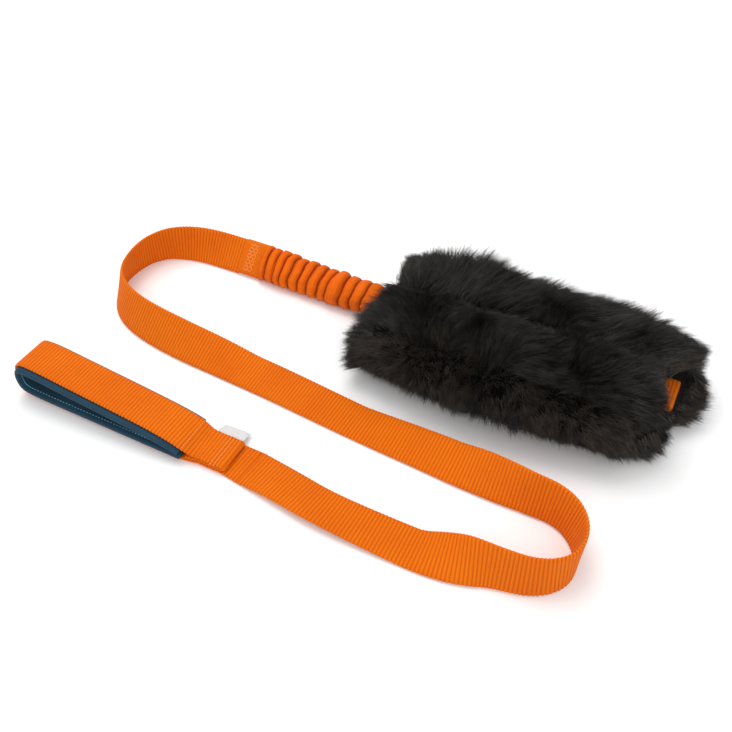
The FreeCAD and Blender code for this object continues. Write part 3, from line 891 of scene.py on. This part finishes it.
def grow_locks(name, roots, normals, ways, lengths, strands, spread, mat, seed):
    """Locks of wool: strands rooted round each root that lean the lock's way and meet near its tip."""
    dice = np.random.default_rng(seed)
    own = len(roots) * strands
    roots, normals, ways = (np.repeat(each, strands, 0) for each in (roots, normals, ways))
    lengths = np.repeat(lengths, strands) * dice.uniform(0.7, 1.12, own)
    jitter = dice.normal(size=(own, 3))
    jitter -= (jitter * normals).sum(1, keepdims=True) * normals
    start = roots + jitter * spread
    meet = dice.uniform(0.5, 1.0, own)[:, None]
    aim = roots + jitter * spread * (1 - meet) + ways * lengths[:, None]
    aim += dice.normal(size=(own, 3)) * 0.9 * MM
    bend = start + normals * (lengths * 0.45)[:, None] + dice.normal(size=(own, 3)) * 0.5 * MM
    steps = np.array([0.0, 0.36, 0.70, 1.0])[None, :, None]
    spine = (1 - steps) ** 2 * start[:, None] + 2 * steps * (1 - steps) * bend[:, None]
    spine = spine + steps**2 * aim[:, None]
    curl = dice.normal(size=(own, 1, 3)) * np.sin(steps * 6.0 + dice.uniform(0, 6.28, (own, 1, 1)))
    spine = spine + curl * steps * 0.5 * MM
    floor = dice.uniform(0.3, 1.4, (own, 1)) * MM
    spine[..., 2] = np.maximum(spine[..., 2], floor)
    along = unit(spine[:, 3] - spine[:, 0])
    side = unit(np.cross(along, dice.normal(size=(own, 3))))
    half = dice.uniform(0.13, 0.24, (own, 1, 1)) * MM * np.array([1.0, 0.85, 0.5])[None, :, None]
    left = spine[:, :3] - side[:, None] * half
    right = spine[:, :3] + side[:, None] * half
    points = np.concatenate([left, right, spine[:, 3:]], 1)
    base = (np.arange(own) * 7)[:, None]
    quads = np.concatenate([base + np.array([0, 3, 4, 1]), base + np.array([1, 4, 5, 2])])
    tips = base + np.array([2, 5, 6])
    wool = make_object(name, points.reshape(-1, 3), [quads, tips], mat)
    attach(wool, "pad")


def lock_ways(spots, normals, end):
    """Which way the wool lies: out from the hide, parted at the groove, over both ends and down."""
    from_start = (spots[:, 0] - hide_low[0]) / (28 * MM)
    to_end = (end - spots[:, 0]) / (28 * MM)
    over_start = np.exp(-np.maximum(from_start, 0) * 1.6)
    over_end = np.exp(-np.maximum(to_end, 0) * 1.6)
    comb = 0.30 - 1.15 * over_start + 0.9 * over_end
    drift = 0.26 * lumps(spots, 21, 60) + 0.16 * lumps(spots, 22, 150)
    sway = 0.26 * lumps(spots, 23, 60) + 0.16 * lumps(spots, 24, 150)
    beside = (spots[:, 1] - GROOVE_Y) / (9 * MM)
    fading = np.clip(1.2 - (spots[:, 0] - hide_low[0]) / (150 * MM), 0.15, 1)
    parting = np.sign(beside) * np.exp(-np.abs(beside)) * 0.5 * fading * (normals[:, 2] > 0.3)
    ways = normals + X * (comb + drift)[:, None] + Y * (parting + sway)[:, None]
    ways = ways - Z * 0.35
    return unit(ways)


def near_mouth(y):
    """How much a place across the pad belongs to the mouth's upper lip."""
    return bell(y, LIP_Y, 14 * MM)


def region_trim(x, y, nz, end, share):
    """How long the wool is at each place, as a share of its region's length."""
    upper = nz > 0
    below = np.clip(-nz, 0, 1)
    groove = bell(y, GROOVE_Y, 6 * MM) * upper * np.clip(1.2 - share, 0.15, 1)
    corner = np.exp(-(x - hide_low[0]) / (18 * MM)) * (y > 60 * MM)
    bulge = bell(x, 42 * MM, 26 * MM) * (y > 72 * MM)
    far_end = bell(end - x, 0, 14 * MM) * np.clip((y - 80 * MM) / (8 * MM), 0, 1)
    low_front = below * (y < 20 * MM)
    waist = bell(x, 100 * MM, 38 * MM) * low_front
    toe = bell(x, 166 * MM, 16 * MM) * low_front
    mouth = near_mouth(y) * np.exp(-(end - x) / (14 * MM)) * upper
    trim = (1 - 0.3 * corner) * (1 + 0.32 * bulge - 0.4 * far_end - 0.3 * waist + 0.3 * toe)
    return trim * (1 - 0.35 * groove) * (1 - 0.5 * below) * (1 - 0.78 * mouth)


def make_wool():
    """The long wool, one piece for each region of the hide and one for each of its two ends."""
    # Each region: its angles round the section, how many locks and how long they are.
    regions = {
        "front": (2.2, 3.85, 1450, 0.70),
        "top_front": (1.50, 2.3, 1500, 1.0),
        "top_back": (0.75, 1.62, 1500, 1.06),
        "back": (-0.75, 0.85, 1050, 0.85),
        "under": (3.75, 5.6, 600, 0.75),
    }
    for number, (region, (low, high, count, share_long)) in enumerate(regions.items()):
        dice = np.random.default_rng(100 + number)
        angle = dice.uniform(low, high, count)
        y, z, ny, nz = pad_section(angle)
        end = open_end(y, z)
        share = dice.uniform(0, 1, count)
        x = hide_low[0] + share * (end - hide_low[0])
        spots = np.column_stack([x, y, z])
        normals = np.column_stack([0 * x, ny, nz])
        ways = lock_ways(spots, normals, end)
        lengths = share_long * PILE * (0.78 + 0.30 * np.sin(np.pi * share) ** 0.6)
        lengths = lengths * (1 + 0.16 * lumps(spots, 31, 90)) * dice.uniform(0.85, 1.15, count)
        lengths = lengths * region_trim(x, y, nz, end, share)
        mat = wool_brown if region in ("front", "back") else wool_black
        grow_locks(f"wool_{region}", spots, normals, ways, lengths, 26, 2.1 * MM, mat, 200 + number)

    # The rims: wool that falls over the closed end and frames the open mouth.
    rims = (("closed_end", True, 620), ("open_end", False, 560))
    for number, (rim, at_start, count) in enumerate(rims):
        dice = np.random.default_rng(300 + number)
        angle = dice.uniform(0, 2 * np.pi, count)
        inset = dice.uniform(0, 11 if at_start else 5.5, count) * MM
        y, z, ny, nz = pad_section(angle, inset)
        x = np.full(count, hide_low[0]) if at_start else open_end(y, z)
        outward = -1.0 if at_start else 1.0
        spots = np.column_stack([x, y, z])
        normals = unit(np.column_stack([np.full(count, outward * 0.8), ny, nz]))
        sway = np.column_stack([0 * x, 0.35 * lumps(spots, 41, 90), 0.25 * lumps(spots, 42, 90)])
        lip = near_mouth(y) * (nz > 0) * (not at_start)
        sill = bell(y, MOUTH_Y, 34 * MM) * (nz < 0) * (not at_start)
        beside_sleeve = bell(y, BUNGEE_Y - 4 * MM, 14 * MM) * (nz > -0.3) * at_start
        rise = nz * (0.55 + 0.4 * lip) - 0.25 + sill * dice.uniform(0.3, 1.3, count)
        ways = np.column_stack([outward * (1 - 0.4 * lip), ny * 0.7, rise])
        lengths = (14 if at_start else 13) * MM * dice.uniform(0.75, 1.15, count)
        if not at_start:
            near_corner = 0.25 * (y < 14 * MM)
            notch = 0.45 * bell(y, NOTCH_Y, 10 * MM) * (nz < 0.3)
            far_corner = 0.4 * (y > 84 * MM) * (nz > 0)
            lengths = lengths * (1 - near_corner - notch - far_corner)
        lengths = lengths * (1 - 0.85 * lip) * (1 - 0.62 * beside_sleeve)
        ways = unit(ways + sway)
        mat = wool_black if at_start else wool_brown
        grow_locks(f"wool_{rim}", spots, normals, ways, lengths, 28, 1.6 * MM, mat, 400 + number)


make_stage()
make_lead()
make_handle()
make_handle_stitches()
make_tag()
make_lead_hem()
make_bungee()
make_pad_core()
make_hide()
make_undercoat()
make_wool()
